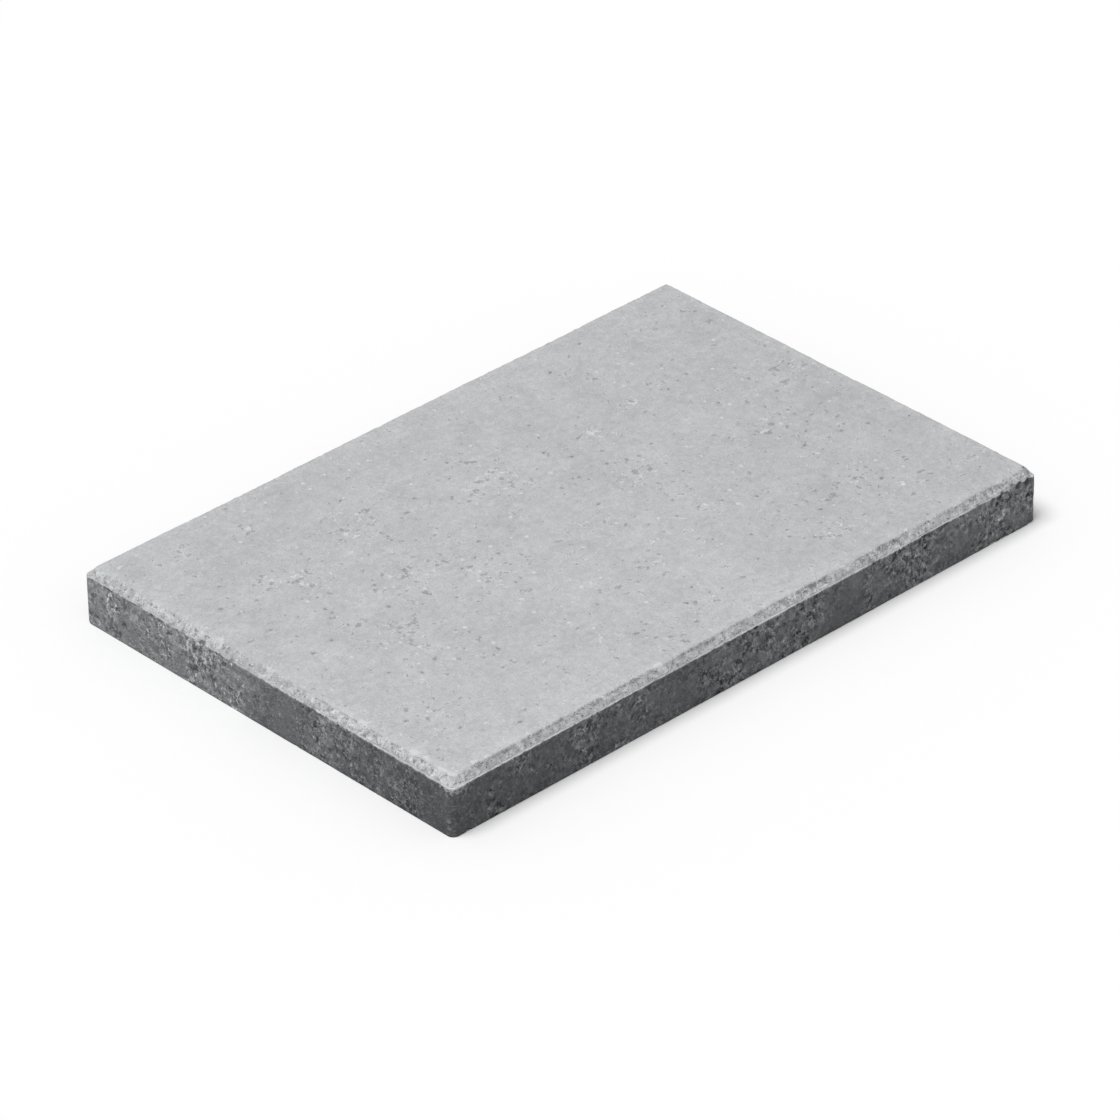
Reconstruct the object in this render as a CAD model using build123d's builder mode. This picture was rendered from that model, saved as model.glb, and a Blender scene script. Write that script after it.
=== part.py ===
from build123d import *
import os

# Precast concrete wall coping: one flat rectangular slab that lies along the top of a block wall.
# It is cast in one piece, so it is one solid with no core and no layers.
# Frame: X along the slab's length, Y across its width, Z up.
# The origin is the middle of the underside, which beds flat on the wall.

# Driving dimensions, in millimetres
slab_length = 500.0
slab_width = 330.0
slab_thickness = 40.0
arris_chamfer = 5.5  # both legs of the 45 degree bevel round the top face
corner_radius = 5.0  # rounding of the four upright corners

with BuildPart() as coping:
    # The full block, with its bevel mitred at the corners
    with BuildSketch() as full_outline:
        Rectangle(slab_length, slab_width)
    extrude(amount=slab_thickness)
    top_face = coping.faces().sort_by(Axis.Z)[-1]
    chamfer(top_face.edges(), length=arris_chamfer)

    # The rounded corners run up through the mitres, as the corners of a casting mould do
    with BuildSketch() as rounded_outline:
        RectangleRounded(slab_length, slab_width, corner_radius)
    extrude(amount=slab_thickness, mode=Mode.INTERSECT)

coping.part.label = "coping_slab"

os.makedirs("parts", exist_ok=True)
export_step(coping.part, "parts/coping_slab.step")
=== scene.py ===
"""Looks of a precast concrete wall coping: one detailed casting in place of the plain slab."""
import itertools
import math

import bpy
import numpy as np
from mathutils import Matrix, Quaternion, Vector
from mathutils.geometry import delaunay_2d_cdt


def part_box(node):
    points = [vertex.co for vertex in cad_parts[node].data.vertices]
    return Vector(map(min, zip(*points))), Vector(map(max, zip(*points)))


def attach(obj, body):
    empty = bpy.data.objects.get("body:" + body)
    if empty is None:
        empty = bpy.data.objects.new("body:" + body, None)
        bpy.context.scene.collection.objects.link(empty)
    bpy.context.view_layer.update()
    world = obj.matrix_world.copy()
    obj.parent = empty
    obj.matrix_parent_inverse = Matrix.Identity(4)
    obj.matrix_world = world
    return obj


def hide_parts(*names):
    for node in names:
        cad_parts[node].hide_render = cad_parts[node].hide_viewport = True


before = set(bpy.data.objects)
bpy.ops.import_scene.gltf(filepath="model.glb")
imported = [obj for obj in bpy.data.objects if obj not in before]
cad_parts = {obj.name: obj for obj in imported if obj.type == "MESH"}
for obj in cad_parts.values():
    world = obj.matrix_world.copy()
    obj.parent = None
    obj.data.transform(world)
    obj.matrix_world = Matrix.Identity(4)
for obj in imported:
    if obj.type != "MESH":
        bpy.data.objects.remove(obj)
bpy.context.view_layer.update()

SLAB_NODE = "coping_slab"
BODY = "root"
MM = 0.001
# Each noise adds its own number to the seed.
SEED = 4117

# The slab's size comes from the frame. Its bevel and corners repeat the sizes that the solid was made with.
_, slab_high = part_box(SLAB_NODE)
HALF_LENGTH = slab_high.x
HALF_WIDTH = slab_high.y
THICKNESS = slab_high.z
BEVEL = 5.5 * MM
CORNER_RADIUS = 5.0 * MM
ARRIS_HEIGHT = THICKNESS - BEVEL

# Sides count anticlockwise from the near long one.
# A share of a side runs from its left end, seen from outside.
NEAR, RIGHT, FAR, LEFT = range(4)
# Which way the left end of each side lies from the middle
CORNER_SIGNS = ((-1.0, -1.0), (1.0, -1.0), (1.0, 1.0), (-1.0, 1.0))

# Spacing of the mesh
SIDE_STEP = 1.3 * MM
TOP_STEP = 2.8 * MM
BOTTOM_STEP = 9.0 * MM
CORNER_COLUMNS = 6
# The rings of a cap: how fast their step grows, the gap between them in steps, how fast their corners
# open out, and the share of the full step at which a loose grid takes over, with its gap in full steps
STEP_GROWTH = 0.11
RING_GAP = 0.9
RING_CORNER_GROWTH = 0.6
GRID_FROM_STEP = 0.97
GRID_GAP = 0.6
# How far a cap's points are moved at random, in steps of its edge
JITTER = 0.22

# The section from the underside up: a rounded foot, the side, a thin worn lip at the bevel's foot,
# the bevel, and a small step at its head where the mould's top plate ended
FOOT_ROUND = 1.0 * MM
FOOT_INSET = 2.4 * MM
LIP_WIDTH = 0.75 * MM
LIP_RISE = 0.35 * MM
SLOPE_SINK = 0.35 * MM
SLOPE_TILT = 45.0
STEP_WIDTH = 0.7 * MM
HEAD_ROUND = 1.6 * MM
RIM_INSET = 8.4 * MM
CORNER_TIGHTENING = 0.65
LEAST_CORNER_RADIUS = 1.4 * MM

# The top face falls slightly towards its edges.
CROWN_FALL = 0.35 * MM
CROWN_REACH = 14.0 * MM


def smoothstep(low, high, value):
    """0 below low, 1 above high, with a smooth turn between them."""
    t = np.clip((value - low) / (high - low), 0.0, 1.0)
    return t * t * (3.0 - 2.0 * t)


# Odd factors and shifts that scramble whole numbers
AXIS_FACTORS = np.array([374761393, 668265263, 2147483647], np.uint64)
SEED_FACTOR = 1442695041
SCRAMBLES = ((13, 1274126177), (16, 2246822519), (15, 1))
WORD = np.uint64(0xFFFFFFFF)
# Brings the noise out to about -1 and 1
NOISE_GAIN = 1.6


def hashed(cells, seed):
    """A fixed number from -1 to 1 for each whole-numbered cell."""
    mixed = (cells.astype(np.uint64) * AXIS_FACTORS).sum(axis=1, dtype=np.uint64)
    mixed = (mixed + np.uint64(seed * SEED_FACTOR)) & WORD
    for shift, factor in SCRAMBLES:
        mixed = ((mixed ^ (mixed >> np.uint64(shift))) * np.uint64(factor)) & WORD
    return mixed.astype(float) / 0x7FFFFFFF - 1.0


def noise(points, cell, seed):
    """Smooth noise from about -1 to 1, with features about one cell wide. cell may differ by axis."""
    at = points / np.asarray(cell)
    base = np.floor(at).astype(np.int64)
    part = at - base
    ease = part ** 3 * (part * (part * 6.0 - 15.0) + 10.0)
    total = np.zeros(len(points))
    for corner in itertools.product((0, 1), repeat=3):
        offset = np.array(corner)
        cells = base + offset
        weight = np.prod(np.where(offset, ease, 1.0 - ease), axis=1)
        away = part - offset
        slope = sum(hashed(cells, seed + axis) * away[:, axis] for axis in range(3))
        total += weight * slope
    return total * NOISE_GAIN


def rough_noise(points, cell, seed, octaves=3):
    """Layers of noise, each twice as fine and half as strong."""
    cell = np.asarray(cell, float)
    total = np.zeros(len(points))
    for octave in range(octaves):
        total += noise(points, cell / 2 ** octave, seed + 11 * octave) / 2 ** octave
    return total


def half_up(values):
    """Noise shifted to lie from about 0 to 1."""
    return 0.5 + 0.5 * values


def columns(spacing, inset, radius, corner_count):
    """Stations round the slab, anticlockwise from the near left corner: signs and outward angle."""
    long_count = max(2, round(2 * (HALF_LENGTH - inset - radius) / spacing))
    short_count = max(2, round(2 * (HALF_WIDTH - inset - radius) / spacing))
    along, across, angle = [], [], []
    for side, count in enumerate((long_count, short_count, long_count, short_count)):
        facing = math.radians(90 * side - 90)
        angle.append(np.full(count, facing))
        angle.append(facing + np.linspace(0, math.pi / 2, corner_count, endpoint=False))
        ends = zip(CORNER_SIGNS[side], CORNER_SIGNS[(side + 1) % 4])
        for values, (start, end) in zip((along, across), ends):
            values.append(np.linspace(start, end, count, endpoint=False))
            values.append(np.full(corner_count, end))
    return np.concatenate(along), np.concatenate(across), np.concatenate(angle)


def ring(stations, inset, radius):
    """Points of the outline that lies inset from the slab's edge, with corners of that radius."""
    along, across, angle = stations
    x = along * (HALF_LENGTH - inset - radius) + radius * np.cos(angle)
    y = across * (HALF_WIDTH - inset - radius) + radius * np.sin(angle)
    return np.stack([x, y], axis=1)


def corner_radius_at(inset):
    """The corners tighten from the upright edge up the bevel."""
    return max(CORNER_RADIUS - CORNER_TIGHTENING * inset, LEAST_CORNER_RADIUS)


def profile_rows():
    """The section from the underside over the side and bevel to the top: (inset, height, normal's tilt)."""
    rows = [(FOOT_INSET, 0.0, -90.0), (FOOT_ROUND, 0.0, -85.0)]
    for tilt in (-60.0, -30.0):
        turn = math.radians(-tilt)
        rows.append((FOOT_ROUND * (1 - math.cos(turn)), FOOT_ROUND * (1 - math.sin(turn)), tilt))
    side_top = ARRIS_HEIGHT - 0.4 * MM
    side_count = round((side_top - FOOT_ROUND) / SIDE_STEP)
    rows += [(0.0, height, 0.0) for height in np.linspace(FOOT_ROUND, side_top, side_count + 1)]
    rows += [(0.2 * MM, ARRIS_HEIGHT + 0.1 * MM, 40.0), (LIP_WIDTH, ARRIS_HEIGHT + LIP_RISE, 72.0)]
    slope_foot, slope_head = LIP_WIDTH + 0.5 * MM, BEVEL - 0.9 * MM
    for inset in np.linspace(slope_foot, slope_head, 4):
        rows.append((inset, ARRIS_HEIGHT + inset - SLOPE_SINK, SLOPE_TILT))
    rows.append((slope_head + STEP_WIDTH, THICKNESS - 0.3 * MM, 38.0))
    rows.append((BEVEL + 0.4 * MM, THICKNESS - 0.08 * MM, 68.0))
    return rows + [(BEVEL + HEAD_ROUND, THICKNESS, 90.0), (RIM_INSET, THICKNESS, 90.0)]


def wall_points(stations, rows):
    """Points and outward normals of the side wall, row by row."""
    angle = stations[2]
    points, normals = [], []
    for inset, height, tilt in rows:
        flat = ring(stations, inset, corner_radius_at(inset))
        lift = math.radians(tilt)
        points.append(np.column_stack([flat, np.full(len(flat), height)]))
        outward = [np.cos(angle) * math.cos(lift), np.sin(angle) * math.cos(lift)]
        normals.append(np.column_stack([*outward, np.full(len(flat), math.sin(lift))]))
    return np.concatenate(points), np.concatenate(normals)


def side_shares(stations):
    """The side that each column is on, and its share of that side."""
    side = np.round((stations[2] + math.pi / 2) / (math.pi / 2)).astype(int) % 4
    outline = ring(stations, 0.0, CORNER_RADIUS)
    along, across = outline[:, 0] / HALF_LENGTH, outline[:, 1] / HALF_WIDTH
    run = np.choose(side, [along, across, -along, -across])
    return side, (run + 1) / 2


def inset_of(flat):
    """How far inside the slab's outline each point lies."""
    return np.minimum(HALF_LENGTH - np.abs(flat[:, 0]), HALF_WIDTH - np.abs(flat[:, 1]))


def fill_points(random, start_inset, start_step, full_step):
    """Points inside a cap: rings that open out from the edge, then a loose grid of triangles."""
    inset, step, filled = start_inset, start_step, []
    while step < full_step * GRID_FROM_STEP:
        inset += RING_GAP * step
        step = min(full_step, start_step + STEP_GROWTH * (inset - start_inset))
        radius = corner_radius_at(start_inset) + RING_CORNER_GROWTH * (inset - start_inset)
        corner_count = max(2, round(radius * math.pi / 2 / step))
        filled.append(ring(columns(step, inset, radius, corner_count), inset, radius))
    reach_x, reach_y = HALF_LENGTH - inset, HALF_WIDTH - inset
    row_gap = full_step * math.sqrt(3) / 2
    grid = []
    for row in range(-int(reach_y / row_gap), int(reach_y / row_gap) + 1):
        shift = full_step / 2 if row % 2 else 0.0
        x = np.arange(-reach_x + shift, reach_x, full_step)
        grid.append(np.column_stack([x, np.full(len(x), row * row_gap)]))
    grid = np.concatenate(grid)
    grid = grid[inset_of(grid) > inset + GRID_GAP * full_step]
    filled.append(grid)
    filled = np.concatenate(filled)
    return filled + random.uniform(-JITTER, JITTER, filled.shape) * start_step


# Open patches of the top face, as (share of length, share of width), with small air holes and raised crumbs
OPEN_PATCHES = (
    (0.42, 0.12), (0.86, 0.17), (0.72, 0.14), (0.82, 0.42), (0.18, 0.45), (0.27, 0.55), (0.31, 0.75),
    (0.16, 0.67), (0.50, 0.71), (0.65, 0.67), (0.34, 0.46), (0.62, 0.50), (0.93, 0.58), (0.08, 0.20),
)
PATCH_SPREAD = 26 * MM
PIT_COUNT = 190
PIT_PATCH_SHARE = 0.4
PIT_EDGE_GAP = 13 * MM
# The least radius in millimetres, how much is added at most, and the power that keeps most pits small
PIT_RADIUS = (0.5, 1.1, 2.4)
PIT_DEPTH_PER_RADIUS = (0.6, 1.0)
PIT_STRETCH = (1.0, 1.7)
# Two pits keep this many radii apart, and at least the gap.
PIT_SPACING = 1.5
PIT_GAP = 0.4 * MM
# The rings of close points that draw a pit, and how many top steps the plain points keep from them
PIT_RING_REACH = (0.45, 0.8, 1.1)
PIT_RING_POINTS = (6, 8, 10)
PIT_RING_GAP = 0.45


def patch_middles():
    """The middle of each open patch of the top face."""
    return (np.array(OPEN_PATCHES) * 2 - 1) * (HALF_LENGTH, HALF_WIDTH)


def random_radius(random, least, spread, power):
    """A radius in metres, by limits as for the pits."""
    return (least + spread * random.random() ** power) * MM


def top_pits(random):
    """Place, radius, depth, stretch and turn of each pit in the top face."""
    pits = []
    middles = patch_middles()
    while len(pits) < PIT_COUNT:
        if random.random() < PIT_PATCH_SHARE:
            place = middles[random.integers(len(middles))] + random.normal(0, PATCH_SPREAD, 2)
        else:
            place = random.uniform(-1, 1, 2) * (HALF_LENGTH, HALF_WIDTH)
        radius = random_radius(random, *PIT_RADIUS)
        if inset_of(place[None])[0] < PIT_EDGE_GAP:
            continue
        crowded = (np.hypot(*(place - pit[0])) < PIT_SPACING * (radius + pit[1]) + PIT_GAP for pit in pits)
        if any(crowded):
            continue
        depth = radius * random.uniform(*PIT_DEPTH_PER_RADIUS)
        pits.append((place, radius, depth, random.uniform(*PIT_STRETCH), random.uniform(0, math.pi)))
    return pits


def pit_distance(pit, flat):
    """Distance from the pit's middle, where 1 is its rim. The rim is uneven."""
    place, radius, _, stretch, turn = pit
    away = flat - place
    long_way = away[:, 0] * math.cos(turn) + away[:, 1] * math.sin(turn)
    short_way = away[:, 1] * math.cos(turn) - away[:, 0] * math.sin(turn)
    bearing = np.arctan2(short_way, long_way)
    uneven = 1 + 0.18 * np.sin(2 * bearing + 5 * turn) + 0.14 * np.sin(3 * bearing + 9 * turn)
    return np.hypot(long_way / stretch, short_way) / (radius * uneven)


def with_pit_rings(filled, pits):
    """Clears the plain points round each pit and puts rings of close points there."""
    added = []
    for pit in pits:
        place, radius, _, stretch, turn = pit
        clear = (PIT_RING_REACH[-1] * radius + PIT_RING_GAP * TOP_STEP) / radius
        filled = filled[pit_distance(pit, filled) > clear]
        added.append(place[None])
        for reach, count in zip(PIT_RING_REACH, PIT_RING_POINTS):
            angle = np.linspace(0, 2 * math.pi, count, endpoint=False) + reach
            long_way = np.cos(angle) * reach * radius * stretch
            short_way = np.sin(angle) * reach * radius
            x = long_way * math.cos(turn) - short_way * math.sin(turn)
            y = long_way * math.sin(turn) + short_way * math.cos(turn)
            added.append(place + np.column_stack([x, y]))
    return np.concatenate([filled, *added])


def cap_triangles(edge, filled):
    """Triangles over a cap. Corners count through the edge's points and then the filled ones."""
    flat = np.concatenate([edge, filled])
    loop = [(i, (i + 1) % len(edge)) for i in range(len(edge))]
    made = delaunay_2d_cdt([Vector(p) for p in flat.tolist()], loop, [], 1, 1e-9)
    source = [ids[0] for ids in made[3]]
    corners = np.array([[source[i] for i in face] for face in made[2]])
    a, b, c = flat[corners[:, 0]], flat[corners[:, 1]], flat[corners[:, 2]]
    area = (b[:, 0] - a[:, 0]) * (c[:, 1] - a[:, 1]) - (b[:, 1] - a[:, 1]) * (c[:, 0] - a[:, 0])
    corners[area < 0] = corners[area < 0][:, ::-1]
    return corners


# Pale chips along the edges: (side, share, height, radius of the bite in millimetres, and how many
# millimetres outside the edge its middle lies)
NAMED_CHIPS = (
    (LEFT, 0.985, THICKNESS, 2.4, 1.2),
    (NEAR, 0.015, THICKNESS, 2.2, 1.1),
    (NEAR, 0.93, 0.0, 4.6, 2.3),
    (NEAR, 0.95, 0.0, 5.0, 3.4),
    (NEAR, 0.97, 0.0, 5.0, 3.7),
    (NEAR, 1.0, 0.0, 5.0, 3.0),
    (RIGHT, 0.0, 0.0, 5.0, 3.0),
    (NEAR, 1.0, ARRIS_HEIGHT + 1.0 * MM, 7.5, 5.6),
    (RIGHT, 0.0, ARRIS_HEIGHT + 1.0 * MM, 7.5, 5.2),
    (NEAR, 0.016, 0.0, 3.2, 1.2),
    (RIGHT, 0.62, ARRIS_HEIGHT, 2.4, 1.2),
    (FAR, 0.71, 0.0, 3.4, 1.9),
)
# Holes along the edges, where the concrete wasn't packed full, in the same form. Painted shade darkens them.
EDGE_HOLES = (
    (LEFT, 0.07, ARRIS_HEIGHT, 1.7, 0.6),
    (LEFT, 0.146, ARRIS_HEIGHT, 2.3, 0.9),
    (LEFT, 0.19, ARRIS_HEIGHT, 1.6, 0.6),
    (LEFT, 0.235, ARRIS_HEIGHT, 1.9, 0.7),
    (LEFT, 0.27, ARRIS_HEIGHT, 2.4, 0.9),
    (LEFT, 0.325, ARRIS_HEIGHT, 3.2, 0.9),
    (LEFT, 0.41, ARRIS_HEIGHT, 2.4, 0.9),
    (LEFT, 0.635, ARRIS_HEIGHT, 2.2, 0.8),
    (NEAR, 0.045, THICKNESS, 1.7, 0.5),
    (NEAR, 0.055, ARRIS_HEIGHT, 1.7, 0.6),
    (NEAR, 0.33, ARRIS_HEIGHT, 1.6, 0.5),
    (NEAR, 0.71, ARRIS_HEIGHT, 1.9, 0.6),
    (NEAR, 0.90, ARRIS_HEIGHT, 2.2, 0.7),
    (NEAR, 0.925, THICKNESS, 1.6, 0.5),
    (NEAR, 0.945, THICKNESS - 2.0 * MM, 1.7, 0.7),
    (NEAR, 0.965, ARRIS_HEIGHT, 2.8, 0.9),
    (NEAR, 0.975, THICKNESS - 1.0 * MM, 1.8, 0.6),
    (NEAR, 0.99, THICKNESS - 2.5 * MM, 2.2, 0.9),
    (NEAR, 0.955, THICKNESS - 2.5 * MM, 5.5, 5.1),
    (NEAR, 0.99, THICKNESS - 2.5 * MM, 6.5, 5.9),
    (NEAR, 0.945, ARRIS_HEIGHT - 1.5 * MM, 2.4, 1.1),
    (NEAR, 0.975, ARRIS_HEIGHT - 3.0 * MM, 3.6, 1.9),
    (NEAR, 0.993, ARRIS_HEIGHT - 4.0 * MM, 4.2, 2.1),
    (NEAR, 1.0, THICKNESS, 3.4, 1.4),
    (RIGHT, 0.0, ARRIS_HEIGHT, 3.4, 1.3),
    (RIGHT, 0.025, THICKNESS - 1.0 * MM, 2.0, 0.7),
    (RIGHT, 0.30, ARRIS_HEIGHT, 2.6, 0.8),
    (FAR, 0.30, ARRIS_HEIGHT, 3.2, 0.9),
    (FAR, 0.64, ARRIS_HEIGHT, 2.4, 0.7),
)
# Small chips at random: their number, their shares by side and by height, and their radius as for the pits
RANDOM_CHIPS = 240
CHIP_SIDE_SHARES = (0.3, 0.2, 0.3, 0.2)
CHIP_HEIGHTS = (0.0, ARRIS_HEIGHT, THICKNESS)
CHIP_HEIGHT_SHARES = (0.2, 0.5, 0.3)
CHIP_RADIUS = (0.9, 1.3, 3)
CHIP_OFFSET_PER_RADIUS = (0.4, 0.8)
# The ball that bites out a chip or hole: how uneven it is, its grain, its reach and its soft edge
BITE_UNEVEN = 0.2
BITE_GRAIN = 1.3 * MM
BITE_REACH = 1.3
BITE_SOFT_EDGE = 0.4 * MM


def edge_place(side, share, height):
    """A point on one of the sides, and the way out from it. Above the bevel's foot it lies further in."""
    facing = math.radians(90 * side - 90)
    out = np.array([math.cos(facing), math.sin(facing), 0.0])
    halves = np.array([HALF_LENGTH, HALF_WIDTH, 0.0])
    place = out * (halves - max(height - ARRIS_HEIGHT, 0.0))
    axis = side % 2
    place[axis] = (2 * share - 1) * (halves[axis] - CORNER_RADIUS) * CORNER_SIGNS[(side + 1) % 4][axis]
    place[2] = min(height, THICKNESS)
    up = 0.8 if height > 0 else -0.8
    way = out + np.array([0.0, 0.0, up])
    return place, way / np.linalg.norm(way)


def placed_bites(listed):
    """Middle and radius of the ball that each listed chip or hole was bitten out by."""
    bites = []
    for side, share, height, radius, offset in listed:
        place, way = edge_place(side, share, height)
        bites.append((place + way * (offset * MM), radius * MM))
    return bites


def edge_chips(random):
    """The pale chips: the listed ones and many small ones."""
    chips = placed_bites(NAMED_CHIPS)
    for _ in range(RANDOM_CHIPS):
        side = random.choice(4, p=CHIP_SIDE_SHARES)
        height = random.choice(CHIP_HEIGHTS, p=CHIP_HEIGHT_SHARES)
        radius = random_radius(random, *CHIP_RADIUS)
        place, way = edge_place(side, random.random(), height)
        chips.append((place + way * radius * random.uniform(*CHIP_OFFSET_PER_RADIUS), radius))
    return chips


def bite(points, chips):
    """Pushes the points inside each ball out to its surface. Also says how much each point was moved."""
    moved = np.zeros(len(points))
    for middle, radius in chips:
        near = np.flatnonzero(np.abs(points - middle).max(axis=1) < radius * BITE_REACH)
        away = points[near] - middle
        distance = np.linalg.norm(away, axis=1)
        rough = radius * (1 + BITE_UNEVEN * noise(points[near], BITE_GRAIN, SEED + 900))
        inside = distance < rough
        hit, far, edge = near[inside], distance[inside], rough[inside]
        points[hit] = middle + away[inside] / far[:, None] * edge[:, None]
        moved[hit] = np.maximum(moved[hit], smoothstep(0, BITE_SOFT_EDGE, edge - far))
    return moved


# Open, coarse stretches of the sides: (side, share of the middle, half width as a share, strength)
COARSE_STRETCHES = (
    (LEFT, 0.18, 0.20, 0.95),
    (LEFT, 0.42, 0.05, 0.4),
    (LEFT, 0.66, 0.035, 0.8),
    (NEAR, 0.30, 0.045, 0.7),
    (NEAR, 0.56, 0.07, 0.5),
    (NEAR, 0.88, 0.15, 0.6),
    (RIGHT, 0.30, 0.20, 0.7),
    (RIGHT, 0.80, 0.08, 0.6),
    (FAR, 0.20, 0.12, 0.7),
    (FAR, 0.60, 0.16, 0.6),
)
# Paler stretches of the sides, in the same form
PALE_STRETCHES = (
    (LEFT, 0.24, 0.23, 1.0),
    (LEFT, 0.66, 0.03, 0.35),
    (RIGHT, 0.30, 0.20, 0.6),
    (FAR, 0.18, 0.15, 0.5),
)
# Darker stretches of the sides, in the same form
DARKER_STRETCHES = (
    (LEFT, 0.95, 0.24, 0.8),
    (NEAR, 0.40, 0.05, 0.5),
    (NEAR, 0.66, 0.04, 0.6),
    (FAR, 0.45, 0.06, 0.8),
)
DARKER_SHARE = 0.30
# Tight stretches, where the concrete was packed full and the grain hardly shows, in the same form
TIGHT_STRETCHES = (
    (LEFT, 0.13, 0.035, 0.7),
    (LEFT, 0.51, 0.08, 1.0),
    (LEFT, 0.97, 0.06, 1.0),
    (NEAR, 0.02, 0.035, 1.0),
    (NEAR, 0.16, 0.05, 0.6),
    (NEAR, 0.365, 0.045, 1.0),
    (NEAR, 0.655, 0.04, 0.9),
    (NEAR, 0.83, 0.03, 0.7),
    (RIGHT, 0.60, 0.08, 1.0),
    (FAR, 0.42, 0.08, 1.0),
    (FAR, 0.90, 0.06, 0.9),
)
# Smooth patches of the sides: (side, share, height and radius in millimetres, strength)
SMOOTH_PATCHES = (
    (LEFT, 0.14, 11.0, 11.0, 1.0),
    (LEFT, 0.25, 8.0, 12.0, 1.0),
    (LEFT, 0.38, 9.0, 10.0, 0.8),
    (NEAR, 0.09, 15.0, 10.0, 0.8),
    (NEAR, 0.135, 26.0, 10.0, 0.6),
    (NEAR, 0.465, 24.0, 10.0, 0.9),
    (NEAR, 0.555, 18.0, 9.0, 0.9),
    (NEAR, 0.72, 24.0, 10.0, 0.9),
    (NEAR, 0.885, 12.0, 13.0, 1.0),
    (RIGHT, 0.25, 14.0, 13.0, 1.0),
    (FAR, 0.15, 14.0, 13.0, 1.0),
    (FAR, 0.70, 20.0, 13.0, 1.0),
)
# How far the edges of these patches stray, and the size of their waves
PATCH_STRAY = 7.0 * MM
PATCH_STRAY_SIZE = 11.0 * MM
# Worn stretches of the bevel, which are rough and mottled, in the same form as the other stretches
WORN_STRETCHES = (
    (LEFT, 0.68, 0.07, 0.5),
    (LEFT, 0.88, 0.18, 0.9),
    (NEAR, 0.0, 0.05, 0.9),
    (NEAR, 0.58, 0.05, 0.6),
    (NEAR, 0.74, 0.07, 0.8),
    (NEAR, 0.96, 0.10, 1.0),
    (RIGHT, 0.02, 0.10, 1.0),
    (RIGHT, 0.55, 0.10, 0.8),
    (FAR, 0.25, 0.10, 0.8),
    (FAR, 0.75, 0.08, 0.8),
)
PAINTED_LIGHT_REACH = 180 * MM


def plain_stretch_mask(stretches, side, share, inner, outer):
    """The strength of the stretch that each point is in. It fades from inner to outer half widths."""
    total = np.zeros(len(share))
    for where, middle, half, strength in stretches:
        reach = np.abs(share - middle) / half
        total = np.maximum(total, strength * (side == where) * (1 - smoothstep(inner, outer, reach)))
    return total


def stretch_mask(stretches, points, side, share, seed):
    """1 inside the listed stretches of the sides, with ragged edges."""
    total = plain_stretch_mask(stretches, side, share, 0.6, 1.3)
    ragged = 0.35 * noise(points, 22 * MM, seed) + 0.30 * noise(points, 8 * MM, seed + 1)
    return smoothstep(0.15, 0.75, total + ragged)


def painted_light_drift_mask(points):
    """0 at the near left corner, and nearly 1 far from it, with a little random tone. It carries painted
    light: that way the top grows a shade darker, and the sides and the bevel paler.
    """
    away = np.hypot(points[:, 0] + HALF_LENGTH, points[:, 1] + HALF_WIDTH)
    return 1 - np.exp(-away / PAINTED_LIGHT_REACH) + 0.2 * noise(points, 110 * MM, SEED + 7)


def wall_relief(points, tilt, coarse, worn):
    """Depth of the relief on the sides and the bevel. Each factor is a depth in millimetres."""
    lumps = half_up(rough_noise(points, 7.5 * MM, SEED + 10))
    crumbs = half_up(rough_noise(points, 2.7 * MM, SEED + 20, 2))
    holes = smoothstep(0.30, 0.70, noise(points, 5.0 * MM, SEED + 25))
    drag = half_up(noise(points, (2.6 * MM, 2.6 * MM, 26 * MM), SEED + 30))
    wave = half_up(noise(points, 80 * MM, SEED + 40))
    closed = 0.14 * lumps + 0.12 * crumbs + 0.12 * drag
    opened = 0.50 * lumps + 0.32 * crumbs + 0.90 * holes
    side = 0.18 * wave + closed * (1 - coarse) + opened * coarse
    bevel = 0.30 * crumbs + 0.22 * lumps + 0.50 * worn * half_up(rough_noise(points, 4.5 * MM, SEED + 35))
    top = 0.10 * wave + 0.05 * crumbs
    foot = 0.06 * crumbs + 0.05 * wave
    up = smoothstep(10, 40, tilt)
    level = smoothstep(55, 85, tilt)
    below = smoothstep(-20, -60, tilt)
    depth = side * (1 - up) + bevel * (up - level) + top * level
    return np.clip(depth * (1 - below) + foot * below, 0, None) * MM


def crown(inset):
    """How far the top face lies under its full height, by the distance from the edge."""
    return CROWN_FALL * np.exp(-np.clip(inset - BEVEL, 0, None) / CROWN_REACH)


def top_relief(points):
    """Depth of the gentle waves of the top face."""
    wave = half_up(noise(points, 80 * MM, SEED + 40))
    crumbs = half_up(rough_noise(points, 2.7 * MM, SEED + 20, 2))
    dimple = smoothstep(0.35, 0.9, noise(points, 9 * MM, SEED + 50))
    return (0.10 * wave + 0.05 * crumbs + 0.05 * dimple) * MM


def open_mask(points):
    """1 in the open patches of the top face, 0 where it is closed and smooth."""
    total = 0.45 * noise(points, 26 * MM, SEED + 3) + 0.40 * noise(points, 9 * MM, SEED + 4)
    for middle in patch_middles():
        away = np.hypot(*(points[:, :2] - middle).T)
        total = total + 0.55 * np.exp(-(away / PATCH_SPREAD) ** 2)
    return smoothstep(-0.05, 0.85, total)


# Stretches where the thin lip at the bevel's foot is whole and pale: (side, middle, half width, strength)
LIP_STRETCHES = (
    (NEAR, 0.09, 0.10, 1.0),
    (NEAR, 0.285, 0.03, 1.0),
    (NEAR, 0.52, 0.05, 1.0),
    (NEAR, 0.67, 0.02, 0.8),
    (NEAR, 0.84, 0.03, 0.7),
    (LEFT, 0.80, 0.06, 0.6),
    (LEFT, 0.96, 0.04, 0.8),
    (RIGHT, 0.45, 0.10, 0.9),
    (FAR, 0.35, 0.12, 0.9),
    (FAR, 0.80, 0.06, 0.8),
)
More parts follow.
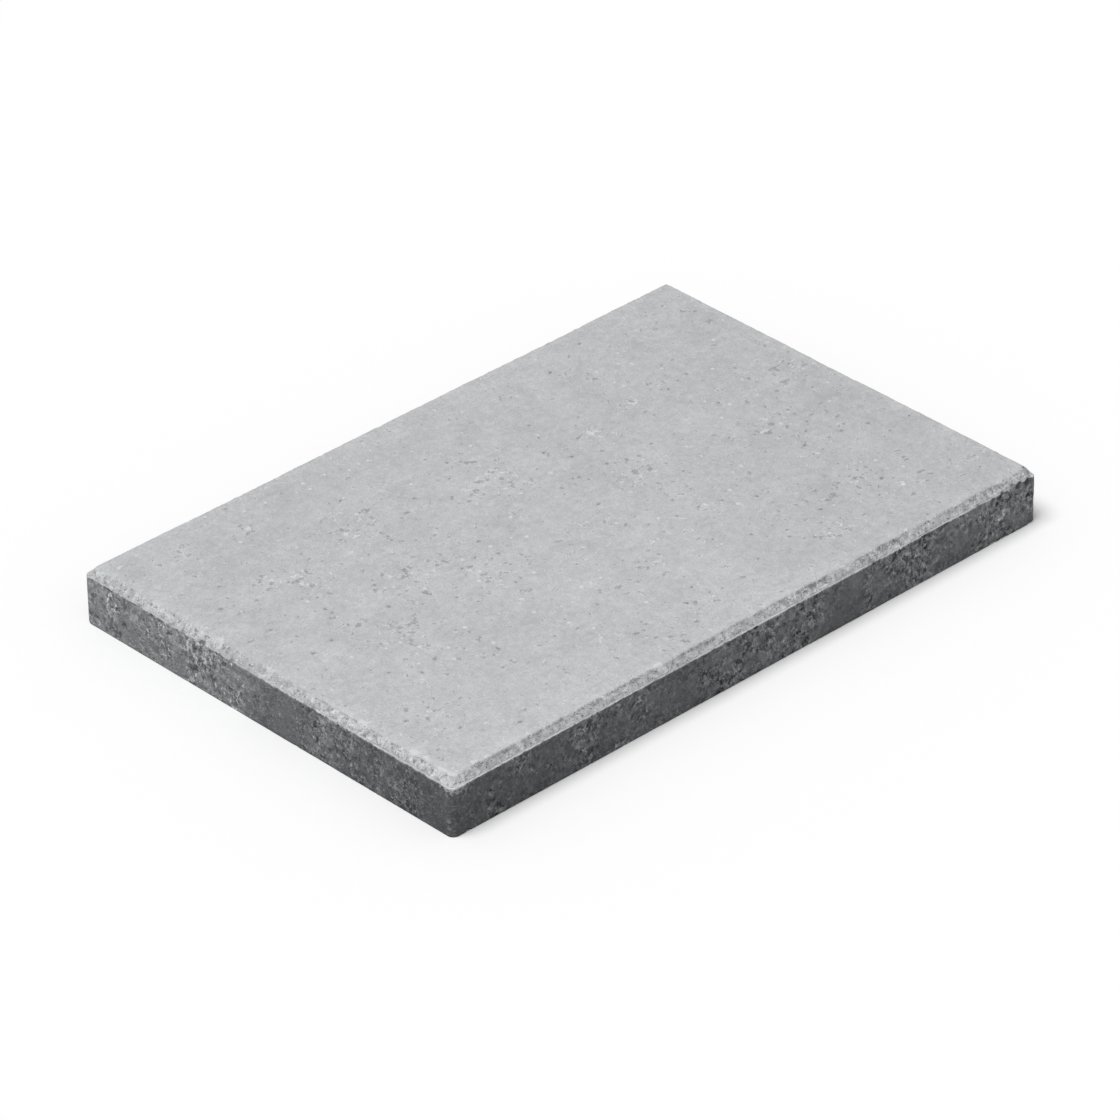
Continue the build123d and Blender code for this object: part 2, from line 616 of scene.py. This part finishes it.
# Pale crumbs and fins left along the bevel: (side, share, rise from the bevel's foot and radius in
# millimetres, strength). A rise past the bevel's own lies that much further in, on the top face.
PALE_CRUMBS = (
    (NEAR, 0.0, 3.0, 11.0, 1.2),
    (NEAR, 0.04, 8.0, 3.0, 0.9),
    (NEAR, 0.06, 5.5, 3.5, 1.0),
    (NEAR, 0.13, 7.0, 3.0, 0.8),
    (NEAR, 0.198, 5.5, 2.2, 1.0),
    (NEAR, 0.344, 4.5, 4.2, 1.7),
    (NEAR, 0.53, 7.5, 3.0, 0.8),
    (NEAR, 0.62, 5.5, 2.5, 0.9),
    (NEAR, 0.78, 5.5, 3.0, 0.8),
    (NEAR, 0.975, 4.0, 5.0, 0.8),
    (LEFT, 0.216, 3.5, 3.0, 0.9),
    (LEFT, 0.342, -0.5, 3.2, 1.1),
    (LEFT, 0.36, 4.0, 6.0, 1.1),
    (LEFT, 0.42, 3.0, 5.0, 0.8),
    (LEFT, 0.50, 4.0, 6.0, 0.9),
    (LEFT, 0.57, 3.5, 5.0, 0.9),
    (LEFT, 0.65, 0.5, 4.0, 0.9),
    (LEFT, 0.665, -7.0, 4.0, 0.7),
    (LEFT, 0.755, 5.5, 5.5, 1.3),
    (LEFT, 0.82, 4.0, 5.0, 0.8),
    (LEFT, 0.83, 14.0, 3.0, 0.8),
    (LEFT, 0.89, 5.5, 5.5, 1.1),
    (LEFT, 0.92, 9.0, 4.0, 0.9),
    (LEFT, 0.97, 5.0, 6.0, 1.2),
    (RIGHT, 0.35, 5.0, 4.0, 0.8),
    (FAR, 0.52, 5.0, 4.0, 0.9),
)


def lip_mask(points, tilt, height, side, share):
    """1 along the worn lip at the bevel's foot, broken here and there."""
    on_lip = smoothstep(25, 45, tilt) * (1 - smoothstep(0.5 * MM, 1.0 * MM, height - ARRIS_HEIGHT))
    whole = plain_stretch_mask(LIP_STRETCHES, side, share, 0.8, 1.2)
    faint = 0.45 * smoothstep(-0.1, 0.4, noise(points, 11 * MM, SEED + 80))
    return on_lip * np.maximum(whole, faint)


def step_shade_mask(points, inset, flush):
    """1 along the broken line of painted shade in the small step at the bevel's head on the long sides."""
    on_head = smoothstep(BEVEL - 1.6 * MM, BEVEL - 0.8 * MM, inset) * (inset < BEVEL + 0.1 * MM)
    kept = smoothstep(-0.25, 0.25, noise(points, 14 * MM, SEED + 85))
    return on_head * kept * (1 - flush)


def spot_mask(points, spots, base_height):
    """About 1 at the listed spots, whose heights count from the base height."""
    total = np.zeros(len(points))
    for side, share, rise, radius, strength in spots:
        place, _ = edge_place(side, share, base_height + rise * MM)
        away = np.linalg.norm(points - place, axis=1) / (radius * MM)
        total = np.maximum(total, strength * (1 - smoothstep(0.35, 1.25, away)))
    return total


# What the material reads at each point of the mesh: the height above the bevel's foot and the depth of the
# relief, both in millimetres, and marks from 0 to about 1. "pale" is below 0 where the side is darker. The
# marks of the slow drift, of the line at the bevel's head and of the pits carry painted light and shade, and
# the relief's depth sets painted shade in the hollows.
MASKS = (
    "above", "coarse", "pale", "tight", "worn", "drift", "relief", "pit", "open", "rim", "lip", "seam",
    "crumb", "broken", "flush",
)


def sheet(points, **masks):
    """Points with all their masks. A mask that isn't given is 0."""
    made = {"points": points}
    for name in MASKS:
        made[name] = np.zeros(len(points)) + masks.get(name, 0.0)
    return made


def wall_sheet(random, stations, rows):
    """The sides, the bevel and the rim of the top, with their relief and chips."""
    points, normals = wall_points(stations, rows)
    inset, height, tilt = (np.repeat(values, len(stations[0])) for values in zip(*rows))
    side, share = (np.tile(values, len(rows)) for values in side_shares(stations))
    # 1 on the short ends, where the bevel meets the top with no step, and 0 on the long sides
    flush = np.tile(np.abs(np.cos(stations[2])) ** 2, len(rows))
    stray = np.stack([noise(points, PATCH_STRAY_SIZE, SEED + 70 + axis) for axis in range(3)], axis=1)
    smooth = spot_mask(points + PATCH_STRAY * stray, SMOOTH_PATCHES, 0.0)
    coarse = stretch_mask(COARSE_STRETCHES, points, side, share, SEED + 1) * (1 - smooth)
    worn = stretch_mask(WORN_STRETCHES, points, side, share, SEED + 17)
    darker = stretch_mask(DARKER_STRETCHES, points, side, share, SEED + 13)
    masks = {
        "above": (height - ARRIS_HEIGHT) / MM,
        "coarse": coarse,
        "pale": stretch_mask(PALE_STRETCHES, points, side, share, SEED + 5) - DARKER_SHARE * darker,
        "tight": np.maximum(smooth, stretch_mask(TIGHT_STRETCHES, points, side, share, SEED + 15)),
        "worn": worn,
        "drift": painted_light_drift_mask(points),
        "relief": wall_relief(points, tilt, coarse, worn) / MM,
        # Where the top's rim begins: the material paints a highlight along it.
        "rim": smoothstep(BEVEL - 0.5 * MM, BEVEL + 0.5 * MM, inset),
        "lip": lip_mask(points, tilt, height, side, share),
        "seam": step_shade_mask(points, inset, flush),
        "crumb": spot_mask(points, PALE_CRUMBS, ARRIS_HEIGHT),
        "flush": flush,
    }
    on_slope = smoothstep(ARRIS_HEIGHT + 0.5 * MM, ARRIS_HEIGHT + 1.5 * MM, height) * (tilt == SLOPE_TILT)
    points[:, 2] += SLOPE_SINK * on_slope * flush
    depth = masks["relief"] * MM + crown(inset) * smoothstep(20, 60, tilt)
    points = points - normals * depth[:, None]
    masks["broken"] = bite(points, edge_chips(random))
    # The holes' mark, which the material darkens with painted shade
    masks["pit"] = bite(points, placed_bites(EDGE_HOLES))
    return sheet(points, **masks)


def top_sheet(filled, pits):
    """The top face inside its rim, with its gentle waves and its pits."""
    points = np.column_stack([filled, np.full(len(filled), THICKNESS)])
    opened = open_mask(points)
    drift = painted_light_drift_mask(points)
    points[:, 2] -= top_relief(points) + crown(inset_of(filled))
    # How deep in a pit each point lies, which the material darkens with painted shade
    hollow = np.zeros(len(filled))
    for pit in pits:
        bowl = 1 - smoothstep(0.4, 1.0, pit_distance(pit, filled))
        points[:, 2] -= bowl * pit[2]
        hollow = np.maximum(hollow, bowl)
    # Where the material paints a highlight along the top's rim
    rim = 1 - smoothstep(BEVEL, BEVEL + 12 * MM, inset_of(filled))
    crumb = spot_mask(points, PALE_CRUMBS, ARRIS_HEIGHT)
    return sheet(points, above=BEVEL / MM, drift=drift, pit=hollow, open=opened, rim=rim, crumb=crumb)


def foot_sheet(filled):
    """The underside inside its rounded edge, level but for faint waves, and evenly packed."""
    points = np.column_stack([filled, np.zeros(len(filled))])
    points[:, 2] += half_up(noise(points, 30 * MM, SEED + 60)) * 0.12 * MM
    return sheet(points, above=-ARRIS_HEIGHT / MM, tight=0.8, drift=1.0)


# The flat map of the surface, in metres, before it is scaled to one square
MAP_SIZE = 0.69
MAP_GAP = 0.008
MAP_STRIP_STARTS = ((MAP_GAP, 0.516), (MAP_GAP, 0.628), (MAP_GAP, 0.572), (0.35, 0.628))
MAP_CAP_STARTS = ((MAP_GAP, MAP_GAP), (0.35, MAP_GAP))


def lengths_along(steps):
    """The running length of a path, from 0, by its steps."""
    return np.concatenate([[0.0], np.cumsum(np.linalg.norm(steps, axis=1))])


def strip_map(stations, rows):
    """Places of the side wall's corners in the flat map, one strip for each side."""
    outline = ring(stations, 0.0, CORNER_RADIUS)
    around = lengths_along(np.roll(outline, -1, axis=0) - outline)
    up = lengths_along(np.diff(np.array(rows)[:, :2], axis=0))
    quarter = np.floor((stations[2] + math.pi / 2) / (math.pi / 2) + 1e-6).astype(int)
    quarter = np.clip(quarter, 0, 3)
    starts = [int(np.flatnonzero(quarter == side)[0]) for side in range(4)]
    begin = np.array([around[starts[side]] for side in quarter])
    origin = np.array(MAP_STRIP_STARTS)[quarter]
    level = np.zeros(len(quarter))
    left = np.column_stack([around[:-1] - begin, level]) + origin
    right = np.column_stack([around[1:] - begin, level]) + origin
    places = []
    for row in range(len(rows) - 1):
        low, high = np.array([0, up[row]]), np.array([0, up[row + 1]])
        places.append(np.stack([left + low, right + low, right + high, left + high], axis=1))
    return np.concatenate(places).reshape(-1, 2)


def cap_map(start, edge, filled, faces):
    """Places of a cap's corners in the flat map, turned so that its length runs up."""
    flat = np.concatenate([edge, filled])
    turned = np.column_stack([flat[:, 1] + HALF_WIDTH, flat[:, 0] + HALF_LENGTH])
    return (turned + start)[faces].reshape(-1, 2)


def wall_quads(count, row_count):
    """Corners of the side wall's faces, row by row."""
    here = np.arange(count)
    after = (here + 1) % count
    quads = []
    for row in range(row_count - 1):
        low, high = row * count, (row + 1) * count
        quads.append(np.column_stack([low + here, low + after, high + after, high + here]))
    return np.concatenate(quads)


def new_object(data):
    """An object in the scene with the same name as its mesh, lamp or camera."""
    made = bpy.data.objects.new(data.name, data)
    bpy.context.collection.objects.link(made)
    return made


def build_slab():
    """The whole casting as one closed mesh, with its masks and its flat map."""
    random = np.random.default_rng(SEED)
    stations = columns(SIDE_STEP, 0.0, CORNER_RADIUS, CORNER_COLUMNS)
    rows = profile_rows()
    pits = top_pits(random)
    top_edge = ring(stations, RIM_INSET, corner_radius_at(RIM_INSET))
    top_fill = with_pit_rings(fill_points(random, RIM_INSET, SIDE_STEP, TOP_STEP), pits)
    top_faces = cap_triangles(top_edge, top_fill)
    foot_edge = ring(stations, FOOT_INSET, corner_radius_at(FOOT_INSET))
    foot_fill = fill_points(random, FOOT_INSET, SIDE_STEP, BOTTOM_STEP)
    foot_faces = cap_triangles(foot_edge, foot_fill)[:, ::-1]

    parts = (wall_sheet(random, stations, rows), top_sheet(top_fill, pits), foot_sheet(foot_fill))
    joined = {name: np.concatenate([part[name] for part in parts]) for name in parts[0]}
    count = len(stations[0])
    wall_size = count * len(rows)
    top_index = np.concatenate([wall_size - count + np.arange(count), wall_size + np.arange(len(top_fill))])
    foot_index = np.concatenate([np.arange(count), wall_size + len(top_fill) + np.arange(len(foot_fill))])
    triangles = np.concatenate([top_index[top_faces], foot_index[foot_faces]])

    mesh = bpy.data.meshes.new("coping_slab_cast")
    faces = wall_quads(count, len(rows)).tolist() + triangles.tolist()
    mesh.from_pydata(joined["points"].tolist(), [], faces)
    mesh.shade_smooth()
    for name in MASKS:
        layer = mesh.attributes.new(name, "FLOAT", "POINT")
        layer.data.foreach_set("value", joined[name].astype(np.float32))
    flat_map = np.concatenate([
        strip_map(stations, rows),
        cap_map(MAP_CAP_STARTS[0], top_edge, top_fill, top_faces),
        cap_map(MAP_CAP_STARTS[1], foot_edge, foot_fill, foot_faces),
    ])
    corners = (flat_map / MAP_SIZE).astype(np.float32).ravel()
    mesh.uv_layers.new(name="OFBake").uv.foreach_set("vector", corners)
    return new_object(mesh)


class Nodes:
    """Short ways to add shader nodes to one material or world."""

    def __init__(self, owner):
        owner.use_nodes = True
        self.tree = owner.node_tree
        self.tree.nodes.clear()

    def add(self, kind, *values, **settings):
        """A new node, with its first inputs set or linked in order."""
        node = self.tree.nodes.new(kind)
        for name, value in settings.items():
            setattr(node, name, value)
        for socket, value in zip(node.inputs, values):
            self.feed(socket, value)
        return node

    def feed(self, socket, value):
        if isinstance(value, bpy.types.NodeSocket):
            self.tree.links.new(value, socket)
        else:
            socket.default_value = value

    def math(self, operation, *values):
        return self.add("ShaderNodeMath", *values, operation=operation).outputs[0]

    def line(self, value, gain, base):
        """The gain times the value, plus the base."""
        return self.math("MULTIPLY_ADD", value, gain, base)

    def product(self, first, *others):
        for other in others:
            first = self.math("MULTIPLY", first, other)
        return first

    def around_one(self, value, gain):
        """A tone that follows a value about 0.5, so that 0.5 gives 1."""
        return self.line(value, gain, 1.0 - gain / 2)

    def span(self, value, low, high, new_low=0.0, new_high=1.0):
        """The new low below low, the new high above high, with a smooth turn between them."""
        limits = (low, high, new_low, new_high)
        return self.add("ShaderNodeMapRange", value, *limits, interpolation_type="SMOOTHSTEP").outputs[0]

    def mix(self, share, first, second, kind="RGBA"):
        """From first at 0 to second at 1: colours, or numbers where the kind is FLOAT."""
        node = self.add("ShaderNodeMix", share, data_type=kind)
        start, out = (6, 2) if kind == "RGBA" else (2, 0)
        self.feed(node.inputs[start], first)
        self.feed(node.inputs[start + 1], second)
        return node.outputs[out]

    def tint(self, colour, strength):
        """A colour or a direction times the strength."""
        node = self.add("ShaderNodeVectorMath", colour, operation="SCALE")
        self.feed(node.inputs["Scale"], strength)
        return node.outputs[0]

    def moved(self, place, amount):
        return self.add("ShaderNodeVectorMath", place, amount, operation="ADD").outputs[0]

    def mask(self, name):
        return self.add("ShaderNodeAttribute", attribute_type="GEOMETRY", attribute_name=name).outputs["Fac"]

    def noise(self, place, size, detail=3.0, roughness=0.6, output="Fac"):
        node = self.add("ShaderNodeTexNoise", place, noise_dimensions="3D")
        node.inputs["Scale"].default_value = 1.0 / size
        node.inputs["Detail"].default_value = detail
        node.inputs["Roughness"].default_value = roughness
        return node.outputs[output]

    def cells(self, place, size):
        """For each grain about one size wide: distance from its middle and two random numbers."""
        node = self.add("ShaderNodeTexVoronoi", place, feature="F1", voronoi_dimensions="3D")
        node.inputs["Scale"].default_value = 1.0 / size
        parts = self.add("ShaderNodeSeparateColor", node.outputs["Color"])
        return node.outputs["Distance"], parts.outputs[0], parts.outputs[1]

    def specks(self, place, size, radius, share):
        """1 inside round specks: one for a share of the cells, each cell about one size wide."""
        distance, chance, bulk = self.cells(place, size)
        chosen = self.span(chance, 1.0 - share, 1.0 - share + 0.02)
        reach = self.product(bulk, radius / size)
        outer = self.math("ADD", reach, 0.35 * radius / size)
        return self.product(chosen, self.span(distance, self.product(reach, 0.6), outer, 1.0, 0.0))


TOP_COLOUR = (0.503, 0.515, 0.525)
# The sides' colour is much darker than the top's: partly the sides' own darker concrete and partly painted
# shade.
SIDE_COLOUR = (0.193, 0.200, 0.207)
PALE_CEMENT = (0.68, 0.69, 0.70, 1.0)
LIGHT_GRAIN = (0.76, 0.765, 0.77, 1.0)
# The way the sides were dragged as the mould came off: down, and a little along
DRAG_WAY = (0.35, 0.28, -0.89)
DRAG_KEPT = 0.24

# Sizes of the grain that the material draws
CLOUD_SIZE = 40 * MM
PATCH_SIZE = 17 * MM
SAND_SIZE = 1.0 * MM
GRAIN_SIZE = 2.4 * MM
LUMP_SIZE = 6.0 * MM
DRAG_SIZE = 1.8 * MM
MOTTLE_SIZE = 4.5 * MM
RAGGED_SIZE = 3.2 * MM
CRUMB_SIZE = 3.0 * MM
SMALL_FLECK, BIG_FLECK = 2.8 * MM, 5.2 * MM
CURL_SIZE, CURL_PATCH_SIZE = 16 * MM, 13 * MM
SPECK_GAP, SPECK_RADIUS, SPECK_SHARE = 8.0 * MM, 1.7 * MM, 0.30
BEND_SIZE, BEND_REACH = 1.6 * MM, 1.3 * MM


def bent(n, place):
    """Places shifted a little by noise, so that grains lose their straight edges."""
    push = n.noise(place, BEND_SIZE, 1.0, 0.5, "Color")
    return n.moved(place, n.tint(push, BEND_REACH))


def dragged(n, place):
    """Places squeezed along the drag, so that what is drawn there is long that way."""
    along = n.add("ShaderNodeVectorMath", place, DRAG_WAY, operation="DOT_PRODUCT")
    shift = n.product(along.outputs["Value"], DRAG_KEPT - 1.0)
    return n.moved(place, n.tint(DRAG_WAY, shift))


def top_colour(n, place, fractal, sand, mottle):
    """The pale cement skin of the top and bevel, with painted light and a painted highlight."""
    tone = n.product(n.around_one(fractal, 0.75), n.around_one(sand, 0.6), n.around_one(mottle, 0.3))
    # Painted light: the top is a shade darker towards its right end, away from the lamp.
    along_length = n.add("ShaderNodeSeparateXYZ", place).outputs[0]
    tone = n.product(tone, n.span(along_length, 0.02, 0.24, 1.0, 0.972))
    # Painted light: the top is a shade darker away from the near left corner.
    tone = n.product(tone, n.line(n.mask("drift"), -0.10, 1.07))
    # Painted highlight: the top is a shade lighter along its rim.
    tone = n.product(tone, n.line(n.mask("rim"), 0.04, 1.0))
    return n.tint(TOP_COLOUR, tone)


def busyness(n, place):
    """How strongly the grain of the sides shows: little in tight spots, most on the long sides, where it is
    partly painted light that stands in for relief shading their light doesn't bring out.
    """
    loose = n.span(n.noise(place, PATCH_SIZE, 2.0, 0.5), 0.40, 0.56, 0.45, 1.30)
    # Painted light: stronger grain on the long sides, in place of relief shading.
    loose = n.product(loose, n.line(n.mask("flush"), -0.22, 1.18))
    return n.product(loose, n.line(n.mask("tight"), -0.55, 1.0))


def side_colour(n, place, fractal, sand):
    """The dark sandy sides, dark partly by their own concrete and partly by painted shade: grains of many
    tones, drag marks, and painted shade in the hollows.
    """
    grain = n.cells(bent(n, place), GRAIN_SIZE)[1]
    drag = n.noise(dragged(n, place), DRAG_SIZE, 3.0, 0.65)
    lumps = n.noise(place, LUMP_SIZE, 2.0, 0.8)
    fine = n.product(n.around_one(sand, 1.6), n.around_one(grain, 0.9), n.around_one(lumps, 1.6))
    fine = n.product(fine, n.around_one(drag, 1.7), n.span(drag, 0.60, 0.72, 1.0, 1.7))
    tone = n.line(n.math("SUBTRACT", fine, 1.0), busyness(n, place), 1.0)
    tone = n.product(tone, n.around_one(fractal, 1.5))
    # Painted light: the sides are darker round the near left corner and paler away from it.
    tone = n.product(tone, n.line(n.mask("drift"), 0.54, 0.85))
    tone = n.product(tone, n.line(n.mask("coarse"), 0.22, 1.0))
    tone = n.product(tone, n.line(n.mask("pale"), 0.50, 1.0))
    # Painted shade: the deeper the relief, the darker the side.
    tone = n.product(tone, n.span(n.mask("relief"), 0.2, 1.3, 1.14, 0.58))
    tone = n.product(tone, n.span(n.mask("above"), -ARRIS_HEIGHT / MM, 0.0, 0.88, 1.03))
    return n.tint(SIDE_COLOUR, tone)


def flecks(n, place, opened, large):
    """Irregular dark and light flecks, more of them where it is open, and pale rims round the dark ones."""
    push = n.product(opened, 0.105)
    found = []
    for shift in ((0.31, 0.0, 0.0), (0.0, 0.37, 0.0)):
        moved = n.moved(place, shift)
        small, big = n.noise(moved, SMALL_FLECK, 3.0, 0.62), n.noise(moved, BIG_FLECK, 3.0, 0.62)
        found.append(n.math("ADD", n.mix(large, small, big, "FLOAT"), push))
    dark, light = found
    rim = n.product(n.span(dark, 0.56, 0.63), n.span(dark, 0.69, 0.645))
    return n.span(dark, 0.64, 0.745), n.span(light, 0.63, 0.73), rim


def curls(n, place):
    """Thin curved lines, in places, where the tools dragged the wet skin."""
    line = n.math("ABSOLUTE", n.math("SUBTRACT", n.noise(place, CURL_SIZE, 2.0, 0.5), 0.5))
    kept = n.span(n.noise(n.moved(place, (0.0, 0.0, 0.23)), CURL_PATCH_SIZE, 2.0, 0.5), 0.50, 0.60)
    return n.product(n.span(line, 0.004, 0.016, 1.0, 0.0), kept)


def edge_colour(n, place, colour):
    """Pale fresh cement where the edges are chipped, on the lip and in the crumbs along the bevel."""
    patchy = n.noise(place, CRUMB_SIZE)
    fresh = n.product(n.mask("broken"), n.span(n.mask("above"), -20.0, -4.0, 0.15, 0.7))
    fresh = n.product(fresh, n.span(patchy, 0.40, 0.60, 0.1, 1.0))
    lip = n.product(n.mask("lip"), n.span(patchy, 0.36, 0.56, 0.25, 0.9))
    crumb = n.line(n.mask("crumb"), 0.25, patchy)
    crumb = n.product(n.span(crumb, 0.66, 0.77), n.span(n.mask("crumb"), 0.0, 0.4))
    pale = n.math("MAXIMUM", n.math("MAXIMUM", fresh, lip), n.product(crumb, 0.85))
    return n.mix(pale, colour, PALE_CEMENT)


def zones(n, place):
    """Where the pale skin lies, how much of it is bevel or level top, and how worn and how open it is."""
    above = n.mask("above")
    ragged = n.line(n.noise(place, RAGGED_SIZE), 4.2, -2.1)
    skin = n.span(n.math("ADD", above, ragged), -0.75, 0.15)
    on_bevel = n.product(n.span(above, 0.2, 0.9), n.span(above, 5.4, 4.6))
    level = n.product(skin, n.math("SUBTRACT", 1.0, on_bevel))
    worn = n.product(n.mask("worn"), on_bevel)
    opened = n.math("MAXIMUM", n.mask("open"), n.product(on_bevel, 0.8))
    opened = n.math("ADD", n.line(worn, 0.07, opened), n.span(skin, 0.0, 1.0, 0.5, 0.0))
    return skin, on_bevel, level, worn, opened


def marks_tone(n, skin, level, sand, dark, rim, curl):
    """The tone of the flecks and the curved lines, and painted shade in the pits, the holes and the small
    step at the bevel's head.
    """
    tone = n.line(dark, n.span(level, 0.0, 1.0, -0.36, -0.29), 1.0)
    tone = n.product(tone, n.line(curl, n.span(skin, 0.0, 1.0, 0.28, 0.045), 1.0))
    # Painted shade in the pits and holes
    tone = n.product(tone, n.line(rim, 0.06, 1.0), n.line(n.mask("pit"), -0.45, 1.0))
    # Painted shade in the small step at the bevel's head on the long sides
    seam = n.product(n.mask("seam"), n.span(sand, 0.35, 0.6, -0.30, -0.08))
    return n.product(tone, n.math("ADD", seam, 1.0))


def bevel_tone(n, on_bevel, worn, mottle):
    """The tone of the bevel: mottled, most of all where it is worn, with painted light: darker on the long
    sides than on the short ends, and paler away from the near left corner.
    """
    mottling = n.product(n.math("SUBTRACT", mottle, 0.5), n.line(worn, 0.8, 1.5))
    # Painted shade: the long sides' bevels are a shade darker than the short ends'.
    mottling = n.math("ADD", mottling, n.line(n.mask("flush"), 0.06, -0.08))
    # Painted light: the bevel is a shade paler away from the near left corner.
    mottling = n.line(n.mask("drift"), 0.13, mottling)
    return n.math("ADD", n.product(on_bevel, mottling), 1.0)


def fine_bump(n, skin, on_bevel, grain, dark, pale, curl):
    """The grain's relief, faint on the level top, with sunk dark flecks, and raised pale ones and lines."""
    rough = n.math("MAXIMUM", n.span(skin, 0.0, 1.0, 1.0, 0.15), n.product(on_bevel, 0.6))
    height = n.line(dark, -0.28, n.product(grain, rough))
    height = n.line(pale, 0.35, height)
    bump = n.add("ShaderNodeBump")
    bump.inputs["Strength"].default_value = 1.0
    bump.inputs["Distance"].default_value = MM
    n.feed(bump.inputs["Height"], n.line(curl, 0.15, height))
    return bump.outputs[0]


def concrete_material():
    """Dense grey concrete: fine cement skin on top, open sandy grain on the sides."""
    material = bpy.data.materials.new("cast_concrete")
    n = Nodes(material)
    place = n.add("ShaderNodeTexCoord").outputs["Object"]
    fractal = n.noise(place, CLOUD_SIZE, 5.0, 1.0)
    sand = n.noise(place, SAND_SIZE, 2.0)
    mottle = n.noise(place, MOTTLE_SIZE)
    skin, on_bevel, level, worn, opened = zones(n, place)
    dark, light, rim = flecks(n, place, opened, level)
    bright = n.specks(bent(n, place), SPECK_GAP, SPECK_RADIUS, SPECK_SHARE)
    curl = curls(n, place)

    colour = n.mix(skin, side_colour(n, place, fractal, sand), top_colour(n, place, fractal, sand, mottle))
    marks = marks_tone(n, skin, level, sand, dark, rim, curl)
    colour = n.tint(colour, n.product(marks, bevel_tone(n, on_bevel, worn, mottle)))
    faint = n.line(n.mask("tight"), n.span(skin, 0.0, 1.0, -0.45, 0.0), 1.0)
    colour = n.mix(n.product(light, faint, n.span(skin, 0.0, 1.0, 0.46, 0.55)), colour, LIGHT_GRAIN)
    colour = edge_colour(n, place, colour)
    colour = n.mix(n.product(bright, faint, n.span(skin, 0.0, 1.0, 0.35, 0.6)), colour, LIGHT_GRAIN)

    grain = n.line(mottle, 0.75, n.product(sand, 0.30))
    pale = n.math("MAXIMUM", light, bright)
    shader = n.add("ShaderNodeBsdfPrincipled")
    n.feed(shader.inputs["Base Color"], colour)
    n.feed(shader.inputs["Roughness"], n.span(sand, 0.25, 0.75, 0.82, 0.94))
    shader.inputs["Specular IOR Level"].default_value = 0.3
    n.feed(shader.inputs["Normal"], fine_bump(n, skin, on_bevel, grain, dark, pale, curl))
    n.add("ShaderNodeOutputMaterial", shader.outputs[0])
    return material


FLOOR_HALF = 15.0
FLOOR_SEEN = (1.0, 1.0, 1.0, 1.0)
FLOOR_BOUNCE = (0.18, 0.18, 0.18, 1.0)
WORLD_LIGHT = 0.35
SUN_ELEVATION = 71.0
SUN_STRENGTH = 2.16
SUN_SOFTNESS = 35.0
# The lamp stands over the slab's left end.
SUN_FROM = (-1.0, 0.06)


def seen_directly(n):
    """1 for rays from the camera and for mirror-like ones, which see the plain white ground."""
    path = n.add("ShaderNodeLightPath")
    seen = n.math("MAXIMUM", path.outputs["Is Camera Ray"], path.outputs["Is Glossy Ray"])
    return n.math("MAXIMUM", seen, path.outputs["Is Transmission Ray"])


def build_floor():
    """A wide level floor, pale to the eye, that keeps the slab's shadow."""
    mesh = bpy.data.meshes.new("studio_floor")
    corners = [(x * FLOOR_HALF, y * FLOOR_HALF, 0) for x, y in CORNER_SIGNS]
    mesh.from_pydata(corners, [], [(0, 1, 2, 3)])
    material = bpy.data.materials.new("studio_floor")
    n = Nodes(material)
    shader = n.add("ShaderNodeBsdfDiffuse", n.mix(seen_directly(n), FLOOR_BOUNCE, FLOOR_SEEN))
    n.add("ShaderNodeOutputMaterial", shader.outputs[0])
    mesh.materials.append(material)
    return new_object(mesh)


def light_studio():
    """One broad soft lamp and an even grey sky, which is white where it is seen."""
    lamp = bpy.data.lights.new("soft_lamp", "SUN")
    lamp.energy = SUN_STRENGTH
    lamp.angle = math.radians(SUN_SOFTNESS)
    lit = new_object(lamp)
    lift = math.radians(SUN_ELEVATION)
    level = Vector((*SUN_FROM, 0.0)).normalized() * math.cos(lift)
    lit.rotation_mode = "QUATERNION"
    lit.rotation_quaternion = (level + Vector((0, 0, math.sin(lift)))).to_track_quat("Z", "Y")

    world = bpy.data.worlds.new("studio")
    bpy.context.scene.world = world
    n = Nodes(world)
    strength = n.span(seen_directly(n), 0.0, 1.0, WORLD_LIGHT, 1.0)
    sky = n.add("ShaderNodeBackground", (1, 1, 1, 1), strength)
    n.add("ShaderNodeOutputWorld", sky.outputs[0])


VIEW_TURN = 43.5
VIEW_ELEVATION = 32.4
VIEW_ROLL = 0.6
VIEW_DISTANCE = 4.253
LENS_MM = 221.3
# The middle of the picture lies a little left of and below the slab's middle.
AIM_LEFT = 3.5 * MM
AIM_DOWN = 10.5 * MM


def place_camera():
    """The photograph's viewing angle and distance, with the slab filling the frame."""
    turn, lift = math.radians(VIEW_TURN), math.radians(VIEW_ELEVATION)
    back = Vector((-math.sin(turn) * math.cos(lift), -math.cos(turn) * math.cos(lift), math.sin(lift)))
    level = back.to_track_quat("Z", "Y")
    data = bpy.data.cameras.new("camera")
    data.lens = LENS_MM
    data.clip_end = 100.0
    camera = new_object(data)
    camera.rotation_mode = "QUATERNION"
    camera.rotation_quaternion = level @ Quaternion((0, 0, 1), math.radians(-VIEW_ROLL))
    aim = Vector((0, 0, THICKNESS / 2)) + camera.rotation_quaternion @ Vector((-AIM_LEFT, -AIM_DOWN, 0))
    camera.location = aim + back * VIEW_DISTANCE
    bpy.context.scene.camera = camera


slab = build_slab()
slab.data.materials.append(concrete_material())
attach(slab, BODY)
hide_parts(SLAB_NODE)

build_floor()
light_studio()
place_camera()
bpy.context.scene.view_settings.view_transform = "Standard"
